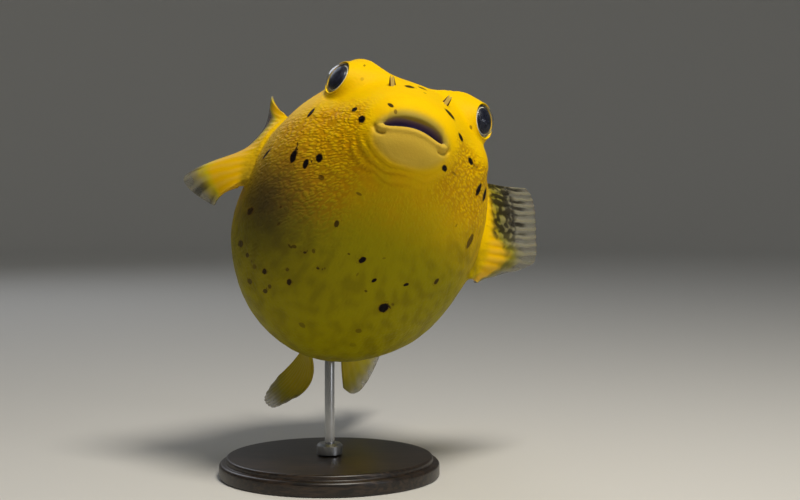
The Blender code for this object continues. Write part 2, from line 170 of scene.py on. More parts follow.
DROOP, DROOP_START, DROOP_RUN = 12.0, 0.12, 0.75
TAIL_SWING, SWING_START, SWING_RUN = -42.0, 0.55, 0.60
TWIST, TWIST_START = 2.7, 0.35
BACKBONE_END, BACKBONE_POINTS = 1.4, 561
SECTIONS = (
    # station along the body, half width, back, belly and the widest line's height, in body lengths
    (0.00, 0.055, 0.042, 0.046, 0.000), (0.03, 0.086, 0.069, 0.076, 0.000),
    (0.08, 0.122, 0.109, 0.114, 0.000), (0.15, 0.168, 0.157, 0.178, -0.010),
    (0.22, 0.217, 0.188, 0.247, -0.030), (0.30, 0.255, 0.199, 0.308, -0.060),
    (0.40, 0.271, 0.199, 0.353, -0.090), (0.50, 0.270, 0.193, 0.372, -0.105),
    (0.60, 0.249, 0.177, 0.358, -0.100), (0.70, 0.203, 0.152, 0.300, -0.075),
    (0.80, 0.142, 0.120, 0.193, -0.035), (0.90, 0.082, 0.090, 0.104, 0.000),
    (1.00, 0.044, 0.072, 0.072, 0.000),
)
ROUNDNESS_ABOVE, ROUNDNESS_BELOW = 2.12, 1.94
SNOUT_ROUNDING, TAIL_ROUNDING, END_FULLNESS = 0.05, 0.03, 2.4

EYE_CENTRES = {1: (0.145, 0.178, 0.128), -1: (-0.144, 0.178, 0.116)}
GAZES = {1: (46.0, 5.0), -1: (66.0, 4.0)}
ORBIT_RADIUS, ORBIT_FLANK, ORBIT_BLEND, ORBIT_REACH = 0.0107, 0.85, 0.0040, 1.5
SWELLINGS = (
    # middle, height and spread: the two brows and the left cheek
    ((0.138, 0.195, 0.163), 0.044, 0.056),
    ((-0.130, 0.190, 0.172), 0.056, 0.053),
    ((0.172, 0.175, 0.038), 0.019, 0.050),
)

BODY_FACETS = {"u_segments": 220, "v_segments": 180}
SNOUT_CROWDING = 0.65
FINE_ROUND_EYE = (0.085, 0.066)
FINE_ROUND_MOUTH = 0.075

FISH = Matrix.Translation(SNOUT_TIP) @ (
    Matrix.Rotation(math.radians(HEADING), 4, "Z")
    @ Matrix.Rotation(math.radians(-PITCH), 4, "X")
    @ Matrix.Rotation(math.radians(BANK), 4, "Y")
)


def through(values, at):
    """A smooth curve through the values that never swings past them."""
    x, y = np.array(at, float), np.array(values, float)
    step, rise = np.diff(x), np.diff(y) / np.diff(x)
    slope = np.zeros(len(x))
    for i in range(1, len(x) - 1):
        if rise[i - 1] * rise[i] > 0:
            before, after = 2 * step[i] + step[i - 1], step[i] + 2 * step[i - 1]
            slope[i] = (before + after) / (before / rise[i - 1] + after / rise[i])
    slope[0], slope[-1] = rise[0], rise[-1]

    def curve(s):
        s = np.clip(s, x[0], x[-1])
        i = np.clip(np.searchsorted(x, s) - 1, 0, len(step) - 1)
        t = (s - x[i]) / step[i]
        return (
            (2 * t**3 - 3 * t**2 + 1) * y[i]
            + (t**3 - 2 * t**2 + t) * step[i] * slope[i]
            + (3 * t**2 - 2 * t**3) * y[i + 1]
            + (t**3 - t**2) * step[i] * slope[i + 1]
        )

    return curve


STATIONS, *COURSES = zip(*SECTIONS)
half_width, back, belly, widest = (through(v, STATIONS) for v in COURSES)


def ease(x):
    x = np.clip(x, 0, 1)
    return x * x * (3 - 2 * x)


def rising(x, start, width):
    """A smooth step: 0 up to the start, 1 from a width further on."""
    return ease((x - start) / width)


def falling(x, end, width):
    """A smooth step down: 0 from the end on, 1 until a width before it."""
    return ease((end - x) / width)


def bell(x, width):
    return np.exp(-((x / width) ** 2))


def backbone():
    """Stations past the tail's end, with the place and the three directions at each."""
    s = np.linspace(0, BACKBONE_END, BACKBONE_POINTS)
    down = -math.radians(DROOP) * rising(s, DROOP_START, DROOP_RUN)
    swing = math.radians(TAIL_SWING) * rising(s, SWING_START, SWING_RUN)
    along = np.stack([-np.sin(swing) * np.cos(down), np.cos(swing) * np.cos(down), np.sin(down)], -1)
    side = np.stack([np.cos(swing), np.sin(swing), np.zeros_like(s)], -1)
    steps = (along[1:] + along[:-1]) / 2 * (s[1] - s[0])
    place = np.concatenate([np.zeros((1, 3)), np.cumsum(steps, 0)])
    above = np.cross(side, along)
    twist = math.radians(TWIST) * rising(s, 0, TWIST_START) * falling(s, 1, TWIST_START)
    cos, sin = np.cos(twist)[:, None], np.sin(twist)[:, None]
    return s, place, side * cos - above * sin, along, above * cos + side * sin


BACKBONE = backbone()


def spine(s):
    """Place, left, backwards and up at stations s, for a fish of unit length."""
    stations, *courses = BACKBONE
    return [np.stack([np.interp(s, stations, v[:, k]) for k in range(3)], -1) for v in courses]


def signed_power(x, power):
    return np.sign(x) * np.abs(x) ** power


def outline(s, angle):
    """Points of the body at stations s and angles round the section, 0 left and 90 degrees up."""
    closing = [
        np.sqrt(np.clip(1 - (1 - np.clip(depth / rounding, 0, 1)) ** END_FULLNESS, 0, 1))
        for depth, rounding in ((s, SNOUT_ROUNDING), (1 - s, TAIL_ROUNDING))
    ]
    full = closing[0] * closing[1]
    up = np.sin(angle)
    reach = np.where(up > 0, back(s) - widest(s), belly(s) + widest(s))
    power = 2 / np.where(up > 0, ROUNDNESS_ABOVE, ROUNDNESS_BELOW)
    x = half_width(s) * signed_power(np.cos(angle), power) * full
    z = (widest(s) + reach * signed_power(up, power)) * full
    place, side, _, above = spine(s)
    return place + side * x[..., None] + above * z[..., None]


def on_outline(directions):
    """Where points of a ball land on the body: its pole +Z on the snout, its pole -Z on the tail."""
    co = np.array(directions)
    co /= np.linalg.norm(co, axis=1)[:, None]
    share = (1 - co[:, 2]) / 2
    crowded = share * (1 - SNOUT_CROWDING + SNOUT_CROWDING * share)
    return outline(crowded, np.arctan2(co[:, 1], co[:, 0]))


def at_eye(sign):
    """The eye's centre and the direction it looks in, in metres in the fish's frame."""
    out, up = (math.radians(v) for v in GAZES[sign])
    gaze = Vector((sign * math.sin(out), -math.cos(out), math.tan(up))).normalized()
    return Vector(EYE_CENTRES[sign]) * STANDARD_LENGTH, gaze


def subdivide_near(bm, places, radius):
    """Splits the faces of the ball that land within a radius of any of the places, in body lengths."""
    centres = on_outline([f.calc_center_median() for f in bm.faces])
    near = np.zeros(len(centres), bool)
    for place in places:
        near |= np.linalg.norm(centres - np.array(place), axis=1) < radius
    edges = {e for f, close in zip(bm.faces, near) if close for e in f.edges}
    bmesh.ops.subdivide_edges(bm, edges=list(edges), cuts=1, use_grid_fill=True)
    bmesh.ops.triangulate(bm, faces=[f for f in bm.faces if len(f.verts) > 4])


# The mouth, a little open: a lens-shaped slit whose middle is arched up, between thick lips.
SLIT_ARCH = 14.0
SLIT_HALF_WIDTH = 0.0134
SLIT_HALF_HEIGHT = 0.0021
SLIT_DEPTH = 0.0062
SLIT_WALL = 0.0010
UPPER_ROLL, LOWER_ROLL = 0.0020, 0.0014
# Rolls of flesh along the slit's edge, and a roll and a crease round each of its corners: how far
# off each one's ridge runs, its width and its height.
UPPER_LIP, LOWER_LIP = (0.0040, 0.0028, 0.0006), (0.0017, 0.0011, 0.0005)
CORNER_ROLL, CORNER_CREASE = (0.0026, 0.0011, 0.0005), (0.0045, 0.0008, 0.0013)
PAD_HEIGHT, PAD_END, PAD_FADE = 0.0010, 0.0140, 0.009
LIPS_END, LIPS_FADE = 0.0200, 0.006
FACE_END, FACE_FADE = 0.016, 0.008


def mouth_distance(points):
    """Distance from the slit's edge in metres, below 0 inside, and the height over its middle line."""
    x, _, z = points.T
    over = z + SLIT_ARCH * x * x
    half = SLIT_HALF_HEIGHT * np.sqrt(np.clip(1 - (x / SLIT_HALF_WIDTH) ** 4, 0, 1))
    beyond = np.clip(np.abs(x) - SLIT_HALF_WIDTH, 0, None)
    return np.hypot(np.abs(over) - half, beyond) * np.sign(np.abs(over) - half + beyond), over


def on_face(points):
    """1 on the front of the face, 0 behind it."""
    return falling(points[:, 1], FACE_END, FACE_FADE)


def ridge_height(distance, ridge, width, height):
    return height * bell(distance - ridge, width)


def lips(points, normals):
    """Sculpts the lips, the slit and the creases at its corners."""
    x, _, z = points.T
    gap, over = mouth_distance(points)
    front = on_face(points)
    lower = ease(0.5 - over / 0.003)
    rise = lower * (ridge_height(gap, *LOWER_LIP) + PAD_HEIGHT * falling(gap, PAD_END, PAD_FADE))
    rise += (1 - lower) * ridge_height(gap, *UPPER_LIP)
    rise *= falling(np.abs(x), LIPS_END, LIPS_FADE)
    for sign in (1, -1):
        dx, dz = sign * x - SLIT_HALF_WIDTH, z + SLIT_ARCH * SLIT_HALF_WIDTH**2
        away, turn = np.hypot(dx, dz), np.degrees(np.arctan2(dz, dx))
        rise += ridge_height(away, *CORNER_ROLL) * rising(turn, -160, 30) * falling(turn, 80, 60)
        rise -= ridge_height(away, *CORNER_CREASE) * rising(turn, -115, 25) * falling(turn, 0, 30)
    points = points + normals * (front * rise)[:, None]
    roll = LOWER_ROLL * lower + UPPER_ROLL * (1 - lower)
    points[:, 1] += SLIT_DEPTH * np.clip((roll - gap) / (roll + SLIT_WALL), 0, 1) ** 3 * front
    return points


# The skin's grain runs outwards from a point a little below the mouth, drawn out along the body.
GRAIN_DROP, GRAIN_REACH, GRAIN_ALONG = 0.012, 0.035, 0.45


def along_body(points):
    """Coordinates in which the skin's grain, which runs away from the mouth, is drawn out."""
    x, y, z = points.T
    z = z + GRAIN_DROP
    squeeze = (GRAIN_REACH / (np.hypot(x, z) + 1e-4)) ** 0.5
    return np.stack([x * squeeze, z * squeeze, y * GRAIN_ALONG], -1)


def wrinkling(points):
    """How wrinkled the skin is: most on the cheeks, less on the belly, hardly at all on the snout."""
    x, y, z = points.T
    snout = falling(np.hypot(x, z), 0.027, 0.010) * falling(y, 0.05, 0.02)
    forehead = rising(z, 0.002, 0.014) * falling(y, 0.10, 0.04)
    aside = 0.3 + 0.7 * rising(np.abs(x), 0.010, 0.014)
    cheek = falling(y, 0.075, 0.035) * rising(z, -0.056, 0.030) * aside
    cheek *= 1 - 0.85 * rising(x, 0.004, 0.020) * falling(z, -0.010, 0.020)
    return (0.45 + 0.55 * cheek) * (1 - 0.95 * snout) * (1 - 0.93 * forehead)


# The lower lip hangs as a smooth oval pad. Folds follow its edge on the chin, swaying a little, and
# small waves run over the rest of the skin.
PAD_CENTRE, PAD_HALF_WIDTH, PAD_HALF_HEIGHT, PAD_RADIUS = -0.0050, 0.0178, 0.0125, 0.0145
CHIN_FOLD, FOLD_SPACING, FOLD_MIDDLE, FOLD_REACH = 0.00034, 0.0027, 0.0048, 0.0046
FOLD_SWAY, SWAY_SIZE = 4.2, 0.0085
SKIN_WAVE, WAVE_SIZE = 0.00036, 0.0030


def perlin_at(points, size):
    return np.array([perlin(Vector(p) / size) for p in points])


def pad_share(points):
    """How far out a point is from the middle of the lower lip's pad, 1 at the pad's edge."""
    return np.hypot(points[:, 0] / PAD_HALF_WIDTH, (points[:, 2] - PAD_CENTRE) / PAD_HALF_HEIGHT)


def chin_folds(points):
    """The height of the folds that run round below the lower lip, as a share of the deepest."""
    x, y, z = points.T
    away = (pad_share(points) - 1) * PAD_RADIUS
    below = falling(z, -0.004, 0.006) * falling(y, 0.060, 0.02) * (1 - 0.75 * rising(x, -0.004, 0.012))
    sway = FOLD_SWAY * perlin_at(points, SWAY_SIZE)
    return below * bell(away - FOLD_MIDDLE, FOLD_REACH) * np.sin(2 * math.pi * away / FOLD_SPACING + sway)


def skin_waves(points):
    return perlin_at(along_body(points), WAVE_SIZE)


def folds(points, normals):
    """Long shallow folds round the chin, and waves in the skin of the cheeks and the belly."""
    rise = CHIN_FOLD * chin_folds(points) + SKIN_WAVE * skin_waves(points) * wrinkling(points)
    return points + normals * rise[:, None]


def swelling(points):
    """How far the brows and the cheek stand out, at points of the unit fish."""
    out = np.zeros(len(points))
    for middle, height, spread in SWELLINGS:
        out += height * bell(np.linalg.norm(points - np.array(middle), axis=1), spread)
    return out


def orbit_height(away):
    """How far ahead of the eye's centre the orbit's surface is, away from the gaze's axis."""
    ball = ORBIT_RADIUS - INSET
    brink = ORBIT_FLANK * ball
    top = np.sqrt(ball**2 - brink**2)
    level = np.sqrt(np.clip(ball**2 - away**2, top**2, None))
    return level - np.clip(away - brink, 0, None) * brink / top


def with_orbits(points):
    """The skin raised along each gaze to a rounded mound that covers the eye."""
    for sign in (1, -1):
        centre, gaze = (np.array(v) for v in at_eye(sign))
        level = (points - centre) @ gaze
        away = np.linalg.norm(points - centre - level[:, None] * gaze, axis=1)
        mound = orbit_height(away)
        share = np.clip(0.5 + 0.5 * (mound - level) / ORBIT_BLEND, 0, 1)
        rise = (mound - level) * share + ORBIT_BLEND * share * (1 - share)
        rise[level < -ORBIT_REACH * (ORBIT_RADIUS - INSET)] = 0
        points = points + gaze * rise[:, None]
    return points


skin = bmesh.new()
bmesh.ops.create_uvsphere(skin, **BODY_FACETS, radius=1)
eyes = list(EYE_CENTRES.values())
for radius in FINE_ROUND_EYE:
    subdivide_near(skin, eyes, radius)
subdivide_near(skin, [(0, 0, 0)], FINE_ROUND_MOUTH)
points = on_outline([v.co for v in skin.verts])
for v, p in zip(skin.verts, points):
    v.co = p
bmesh.ops.recalc_face_normals(skin, faces=skin.faces)
skin.normal_update()
normals = np.array([v.normal for v in skin.verts])
points += normals * (swelling(points) - INSET / STANDARD_LENGTH)[:, None]
points = folds(lips(points * STANDARD_LENGTH, normals), normals)
for v, p in zip(skin.verts, with_orbits(points)):
    v.co = p

# The lid: a rolled rim round the opening, then the socket's wall down behind the eyeball.
LID_RADIUS = 0.0091
LID_PROFILE = (
    # radius from the gaze's axis and level ahead of the eye's centre, in mm
    (8.85, 5.22), (8.62, 5.52), (8.38, 5.58), (8.18, 5.42), (8.08, 5.12), (8.14, 4.86), (8.42, 4.72),
    (8.85, 4.40), (9.55, 2.50), (9.86, 0.20), (9.60, -2.30), (8.50, -5.05), (6.60, -7.35), (4.00, -9.02),
    (1.60, -9.74),
)
for sign in (1, -1):
    centre, gaze = at_eye(sign)

    def polar(co):
        level = (co - centre).dot(gaze)
        flat = co - centre - gaze * level
        return level, flat

    inner = []
    for f in skin.faces:
        co = f.calc_center_median()
        if (co - centre).length < 2 * ORBIT_RADIUS:
            level, flat = polar(co)
            if level > 0 and flat.length < LID_RADIUS:
                inner.append(f)
    bmesh.ops.delete(skin, geom=inner, context="FACES")
    rim = [e for e in skin.edges if e.is_boundary]
    for v in {v for e in rim for v in e.verts}:
        _, flat = polar(v.co)
        v.co = centre + flat.normalized() * LID_RADIUS + gaze * float(orbit_height(LID_RADIUS))
    for radius, level in LID_PROFILE:
        made = bmesh.ops.extrude_edge_only(skin, edges=rim)["geom"]
        rim = [g for g in made if isinstance(g, bmesh.types.BMEdge)]
        for v in (g for g in made if isinstance(g, bmesh.types.BMVert)):
            _, flat = polar(v.co)
            v.co = centre + flat.normalized() * radius / 1000 + gaze * level / 1000
    made = bmesh.ops.edgeloop_fill(skin, edges=rim)["faces"]
    bmesh.ops.poke(skin, faces=made)

bmesh.ops.recalc_face_normals(skin, faces=skin.faces)


# ------------------------------
# Nostrils. Each is a small fleshy flap with no opening, forked into two pointed lobes. It is
# grown from the snout's skin, so it is joined to it below.
NOSTRIL_PLACE = (0.059, 0.090)
NOSTRIL_TURN = 17.0
LOBE_SIZE = (0.0014, 0.0009, 0.0050)
LOBE_SPREAD = 0.0005
LOBE_FACETS = {"u_segments": 20, "v_segments": 14}
LOBE_TAPER, LOBE_THINNING, LOBE_BEND = 0.6, 0.4, 0.0004
LOBE_EDGE = 0.6

# The kinds in the skin's fin_place attribute; the body is 0.
KINDS = {"pectoral_left": 1, "pectoral_right": 2, "dorsal": 3, "anal": 4, "caudal": 5, "nostril": 6}


def height_at(x, s):
    """The height of the back over the point x to the side at station s, for the unit fish."""
    angle = np.linspace(0, math.pi / 2, 181)
    ring = outline(np.full(181, s), angle)
    return float(np.interp(x, ring[::-1, 0], ring[::-1, 2]))


def nostril(sign):
    """Two lobes that part towards their tips, each one a stretched ball bent outwards."""
    bm = bmesh.new()
    where = bm.verts.layers.float_vector.new("fin_place")
    for lobe in (1, -1):
        made = bmesh.ops.create_uvsphere(bm, **LOBE_FACETS, radius=1)
        for v in made["verts"]:
            x, y, z = v.co
            up = max(z, 0)
            v[where] = (abs(x + lobe * LOBE_EDGE) / (1 + LOBE_EDGE), up, KINDS["nostril"])
            x = x * LOBE_SIZE[0] * (1 - LOBE_TAPER * up) + lobe * LOBE_SPREAD * (0.8 + 0.5 * up)
            y = y * LOBE_SIZE[1] * (1 - LOBE_THINNING * up) + LOBE_BEND * z * z
            v.co = (x, y, z * LOBE_SIZE[2])
    x, s = NOSTRIL_PLACE
    place = Vector((sign * x, s, height_at(x, s))) * STANDARD_LENGTH
    turn = Matrix.Rotation(sign * math.radians(NOSTRIL_TURN), 4, "Y")
    bmesh.ops.transform(bm, matrix=Matrix.Translation(place) @ turn, verts=bm.verts)
    return bm


# ------------------------------
# Fins. A thin elastic membrane spanned by soft rays: fleshy and yellow at the root, clear towards
# the margin. Each grows from the body, so it is joined to the skin below.
FIN_MARGIN = 0.0006
BEDDED_SHARE = 0.12
ROUND_CORNERS, CORNER_SHARPNESS = 0.2, 5
FIN_REACH, SCALLOP = 0.991, 0.004
# The membrane is fleshy near its root and thinnest between the rays at its margin.
FLESHY_REACH, FLESHY_FALL = 0.45, 1.5
RAY_SHARE, RAY_FADE, LEAST_SHARE = 0.16, 0.7, 0.02
RIDGE_HEIGHT = 0.00022
# Rays, thickness at the root in metres, and facets across and along.
PECTORAL_BUILD, MEDIAN_BUILD = (14, 0.0048, 104, 26), (12, 0.0025, 66, 20)
CAUDAL_BUILD = (11, 0.0025, 70, 26)

PECTORAL_STATION = 0.375
PECTORAL_ANGLES = {"left": (38.0, 28.0, 14.0, 2.0, -11.0), "right": (33.0, 25.0, 15.0, 5.0, -6.0)}
PECTORAL_BOW = (0.020, -0.006, 0.0)
PECTORAL_TIPS = {
    "left": (
        (0.365, 0.430, 0.133), (0.394, 0.475, 0.107), (0.418, 0.500, 0.058),
        (0.434, 0.512, -0.003), (0.296, 0.541, -0.094),
    ),
    "right": (
        (-0.268, 0.456, 0.162), (-0.246, 0.520, 0.094), (-0.277, 0.535, 0.021),
        (-0.402, 0.492, -0.090), (-0.317, 0.473, -0.155),
    ),
}
MEDIAN_STATIONS = (0.71, 0.79)
MEDIAN_BOWS = {"dorsal": (0.014, 0.014, 0.014, 0.014), "anal": (0.040, 0.030, 0.022, 0.014)}
MEDIAN_TIPS = {
    "dorsal": (
        (-0.040, 0.800, 0.225), (-0.048, 0.850, 0.225), (-0.040, 0.895, 0.185), (-0.010, 0.905, 0.125),
    ),
    "anal": (
        (-0.002, 0.832, -0.432), (-0.024, 0.873, -0.444), (-0.044, 0.911, -0.423), (-0.047, 0.929, -0.384),
    ),
}
CAUDAL_STATION, CAUDAL_LENGTH, CAUDAL_SPREAD, CAUDAL_ROOT = 0.985, 0.26, 40.0, 0.055
CAUDAL_ROUNDING, CAUDAL_LEAN, CAUDAL_BOW = 0.10, 0.006, -0.008


def fin(name, roots, tips, bow, rays, thick, across, along):
    """A closed fin, spanned by rays that each bend from root to tip, with ridges over the rays.

    Its fin_place attribute holds how many rays in, how far out, and the kind of fin.
    """
    key = np.linspace(0, 1, len(roots))
    u = np.linspace(0, 1, across + 1)
    root, tip, arch = (
        np.stack([through(np.array(v)[:, k], key)(u) for k in range(3)], -1) for v in (roots, tips, bow)
    )
    bm = bmesh.new()
    bmesh.ops.create_grid(bm, x_segments=across, y_segments=along, size=0.5)
    weight = bm.verts.layers.deform.verify()
    where = bm.verts.layers.float_vector.new("fin_place")
    middle = {}
    for v in bm.verts:
        i, j = round((v.co.x + 0.5) * across), v.co.y + 0.5
        phase = u[i] * (rays - 1)
        ridge = 0.5 + 0.5 * math.cos(2 * math.pi * phase)
        corner = ROUND_CORNERS * abs(2 * u[i] - 1) ** CORNER_SHARPNESS
        end = FIN_REACH - corner - SCALLOP * (1 - ridge)
        t = (end + BEDDED_SHARE) * j - BEDDED_SHARE
        out = max(t, 0)
        spot = root[i] * (1 - t) + tip[i] * t + arch[i] * 4 * out * (1 - t)
        fleshy = max(0.0, 1 - out / FLESHY_REACH) ** FLESHY_FALL
        v[weight][0] = min(1.0, fleshy + RAY_SHARE * ridge * (1 - RAY_FADE * out) + LEAST_SHARE)
        v[where] = (phase, out, KINDS[name])
        v.co = Vector(spot) * STANDARD_LENGTH
        middle[v] = (ridge, t)
    bm.normal_update()
    for v, (ridge, t) in middle.items():
        v.co += v.normal * RIDGE_HEIGHT * (ridge - 0.5) * ease(t * 3)
    made = piece(name, bm)
    made.vertex_groups.new(name="thick")
    shell = made.modifiers.new("thickness", "SOLIDIFY")
    shell.thickness = thick
    shell.offset = 0
    shell.vertex_group = "thick"
    shell.thickness_vertex_group = FIN_MARGIN / thick
    return made


fins = []
for word, sign in (("left", 1), ("right", -1)):
    angle = np.radians(PECTORAL_ANGLES[word])
    roots = outline(np.full(len(angle), PECTORAL_STATION), angle if sign > 0 else math.pi - angle)
    bows = np.tile(PECTORAL_BOW, (len(roots), 1)) * (sign, 1, 1)
    fins.append(fin(f"pectoral_{word}", roots, PECTORAL_TIPS[word], bows, *PECTORAL_BUILD))
for word, angle in (("dorsal", math.pi / 2), ("anal", -math.pi / 2)):
    stations = np.linspace(*MEDIAN_STATIONS, 4)
    bows = [(bow, 0, 0) for bow in MEDIAN_BOWS[word]]
    fins.append(fin(word, outline(stations, np.full(4, angle)), MEDIAN_TIPS[word], bows, *MEDIAN_BUILD))
share = np.linspace(-1, 1, 7)
place, side, along, above = spine(np.full(len(share), CAUDAL_STATION))
spread = np.radians(CAUDAL_SPREAD) * share
reach = CAUDAL_LENGTH * (1 - CAUDAL_ROUNDING * share**2)
roots = place + above * (CAUDAL_ROOT * share)[:, None]
headings = along * np.cos(spread)[:, None] + above * np.sin(spread)[:, None]
tips = roots + headings * reach[:, None] + side * CAUDAL_LEAN
fins.append(fin("caudal", roots, tips, side * CAUDAL_BOW, *CAUDAL_BUILD))


# ------------------------------
# One skin. The body, its nostrils and its fins are joined into a single closed surface, the
# creases where they meet are eased, the markings are laid on it and it is put in its pose.
CREASE_RINGS, CREASE_ROUNDS = 2, 6

# Dark spots: station, angle round the body, length and width in mm, turn and darkness. They are all
# on the side towards the viewer; the rest of the body has scattered ones.
SPOTS = (
    (0.158, 121, 1.5, 0.7, -67, 0.5), (0.134, 132, 1.3, 1.1, -48, 0.2),
    (0.099, 99, 3.9, 2.8, -51, 0.9), (0.087, 86, 1.5, 1.0, -79, 0.4), (0.024, 147, 2.8, 1.2, 89, 0.9),
    (0.014, 158, 1.9, 1.0, -45, 0.5), (0.085, 169, 2.4, 1.7, 84, 1.0), (0.120, 88, 3.0, 2.4, 0, 0.8),
    (0.057, -177, 3.4, 2.4, -65, 1.0), (0.061, 51, 4.7, 3.5, -3, 1.0), (0.142, 39, 1.5, 1.0, -15, 0.5),
    (0.063, 19, 3.9, 2.1, -73, 1.0), (0.117, 6, 4.1, 1.9, -88, 1.0), (0.138, 7, 2.8, 0.7, 79, 0.4),
    (0.053, -33, 3.4, 1.7, 70, 1.0), (0.154, -156, 2.9, 2.7, 36, 1.0), (0.200, 166, 5.0, 2.1, 12, 1.0),
    (0.208, -166, 5.8, 3.3, 26, 1.0), (0.182, -157, 4.2, 2.5, 32, 1.0), (0.202, -173, 2.1, 0.8, -21, 0.7),
    (0.296, -180, 6.0, 2.1, 55, 1.0), (0.121, -114, 2.0, 0.9, -20, 0.5), (0.253, -144, 1.5, 0.9, 71, 0.6),
    (0.271, -138, 2.1, 1.0, 85, 0.5), (0.346, -156, 5.3, 2.8, 90, 0.8), (0.182, -114, 3.0, 1.9, 66, 0.8),
    (0.160, -143, 2.8, 2.0, -52, 0.6), (0.429, -150, 6.5, 2.9, -76, 0.7), (0.304, -68, 5.2, 4.2, 79, 1.0),
    (0.211, -89, 3.6, 2.2, -65, 1.0), (0.243, -78, 2.4, 1.4, -49, 1.0), (0.253, -60, 2.3, 1.5, -4, 1.0),
    (0.269, -42, 3.0, 1.9, -48, 0.8), (0.267, -80, 1.3, 1.0, 28, 0.6), (0.296, -64, 1.7, 1.1, 64, 0.4),
    (0.239, -88, 1.9, 0.7, -82, 0.3), (0.211, -98, 1.1, 0.9, -2, 0.6), (0.200, -77, 1.5, 0.7, -20, 0.3),
    (0.265, -108, 1.4, 0.9, -19, 0.8), (0.257, -105, 1.0, 0.9, -63, 0.4), (0.259, -118, 1.6, 1.0, -49, 0.8),
    (0.245, -115, 1.9, 1.4, 60, 0.5), (0.267, -124, 1.9, 1.5, -51, 0.6), (0.275, -126, 2.0, 0.9, 0, 0.6),
    (0.409, -142, 3.5, 1.8, -80, 0.7), (0.375, -129, 3.4, 2.1, 87, 0.9), (0.401, -135, 3.2, 2.1, -85, 0.4),
    (0.316, -120, 2.1, 1.3, -86, 0.5), (0.336, -116, 3.1, 2.0, 72, 0.9), (0.393, -123, 2.6, 1.7, 90, 0.6),
    (0.419, -124, 3.3, 1.9, -78, 0.7), (0.456, -134, 3.9, 2.5, -71, 0.6), (0.423, -101, 3.1, 2.6, 28, 0.4),
    (0.377, -75, 2.8, 2.4, 52, 0.4), (0.437, -74, 3.3, 2.7, 38, 0.2), (0.180, 1, 5.2, 3.4, -6, 1.0),
    (0.224, 8, 6.2, 4.6, 10, 1.0), (0.243, -17, 6.5, 3.4, -21, 0.7), (0.182, -28, 1.5, 0.9, -20, 0.3),
    (0.081, -22, 3.4, 0.7, 70, 0.4),
)
SCATTERED, SCATTER_SEED, SPOT_CLEARANCE = 60, 11, 0.009
VIEWER = FISH.inverted() @ Vector((0.035, -0.75, 0.15))
# A spot's soft rim takes from its core, so each is laid larger than listed, most of all on the head.
HEAD_END, HEAD_GROWTH, BODY_GROWTH, BREADTH_GROWTH = 0.16, 1.35, 1.12, 1.05
SPOT_RIM, SPOT_THROW = 0.0018, 0.006
FAR = 9.0

# A painted shadow on the right flank below the cheek, where the cheek shades it from a top light:
# station and angle of its middle, and its spread.
FLANK_SHADOW_PLACE, FLANK_SHADOW_SPREAD = (0.29, math.radians(-154)), 0.029


def surface(s, angle):
    """Points of the skin, in metres, with the directions round the body, along it and outwards."""
    step = 1e-3
    s, angle = np.atleast_1d(s).astype(float), np.atleast_1d(angle).astype(float)

    def at(s, angle):
        place = outline(s, angle)
        around = outline(s, angle + step) - outline(s, angle - step)
        along = outline(s + step, angle) - outline(s - step, angle)
        out = np.cross(along, around)
        out /= np.linalg.norm(out, axis=-1)[:, None]
        raised = place + out * (swelling(place) - INSET / STANDARD_LENGTH)[:, None]
        return with_orbits(raised * STANDARD_LENGTH)

    place = at(s, angle)
    around = at(s, angle + step) - at(s, angle - step)
    around /= np.linalg.norm(around, axis=-1)[:, None]
    along = at(s + step, angle) - at(s - step, angle)
    out = np.cross(along, around)
    out /= np.linalg.norm(out, axis=-1)[:, None]
    return place, around, np.cross(around, out), out


def all_spots():
    """The listed spots and the scattered ones, which keep clear of each other and of the listed side."""
    rows = [list(row) for row in SPOTS]
    rng = np.random.default_rng(SCATTER_SEED)
    taken = [surface(row[0], math.radians(row[1]))[0][0] for row in rows]
    while len(rows) < len(SPOTS) + SCATTERED:
        s, angle = rng.uniform(0.1, 0.93), rng.uniform(-math.pi, math.pi)
        length = rng.uniform(1.4, 5.2) * rng.uniform(0.6, 1.0)
        turn, slim, dark = rng.uniform(-90, 90), rng.uniform(0.45, 0.9), rng.uniform(0.6, 1.0)
        place, _, _, out = (v[0] for v in surface(s, angle))
        seen = out @ (np.array(VIEWER) - place) > 0
        if not seen and all(np.linalg.norm(place - other) > SPOT_CLEARANCE for other in taken):
            rows.append([s, math.degrees(angle), length, length * slim, turn, dark])
            taken.append(place)
    return rows


body = piece("skin", skin)
grown = [*fins, *(piece(f"nostril_{sign}", nostril(sign)) for sign in (1, -1))]
for part in grown:
    joined = body.modifiers.new(part.name, "BOOLEAN")
    joined.operation, joined.solver, joined.object = "UNION", "MANIFOLD", part
graph = bpy.context.evaluated_depsgraph_get()
joined = body.evaluated_get(graph)
whole = bpy.data.meshes.new_from_object(joined, preserve_all_data_layers=True, depsgraph=graph)
for part in (body, *grown):
    bpy.data.objects.remove(part)

skin = bmesh.new()
skin.from_mesh(whole)
bmesh.ops.triangulate(skin, faces=[f for f in skin.faces if len(f.verts) > 4], ngon_method="EAR_CLIP")
# Joining can leave two faces back to back on the same corners. Both go, and the skin stays closed.
by_corners = {}
for f in skin.faces:
    by_corners.setdefault(frozenset(f.verts), []).append(f)
folded = [f for same in by_corners.values() if len(same) > 1 for f in same]
bmesh.ops.delete(skin, geom=folded, context="FACES")

where = skin.verts.layers.float_vector["fin_place"]
meeting = set()
for e in skin.edges:
    if len({v[where].z > 0.5 for v in e.verts}) == 2:
        meeting.update(e.verts)
for _ in range(CREASE_RINGS):
    meeting |= {e.other_vert(v) for v in meeting for e in v.link_edges}
ease_all = {"factor": 0.5, "use_axis_x": True, "use_axis_y": True, "use_axis_z": True}
for _ in range(CREASE_ROUNDS):
    bmesh.ops.smooth_vert(skin, verts=list(meeting), **ease_all)

places = np.array([v.co for v in skin.verts])
kinds = np.array([v[where].z for v in skin.verts])
x, y, z = places.T

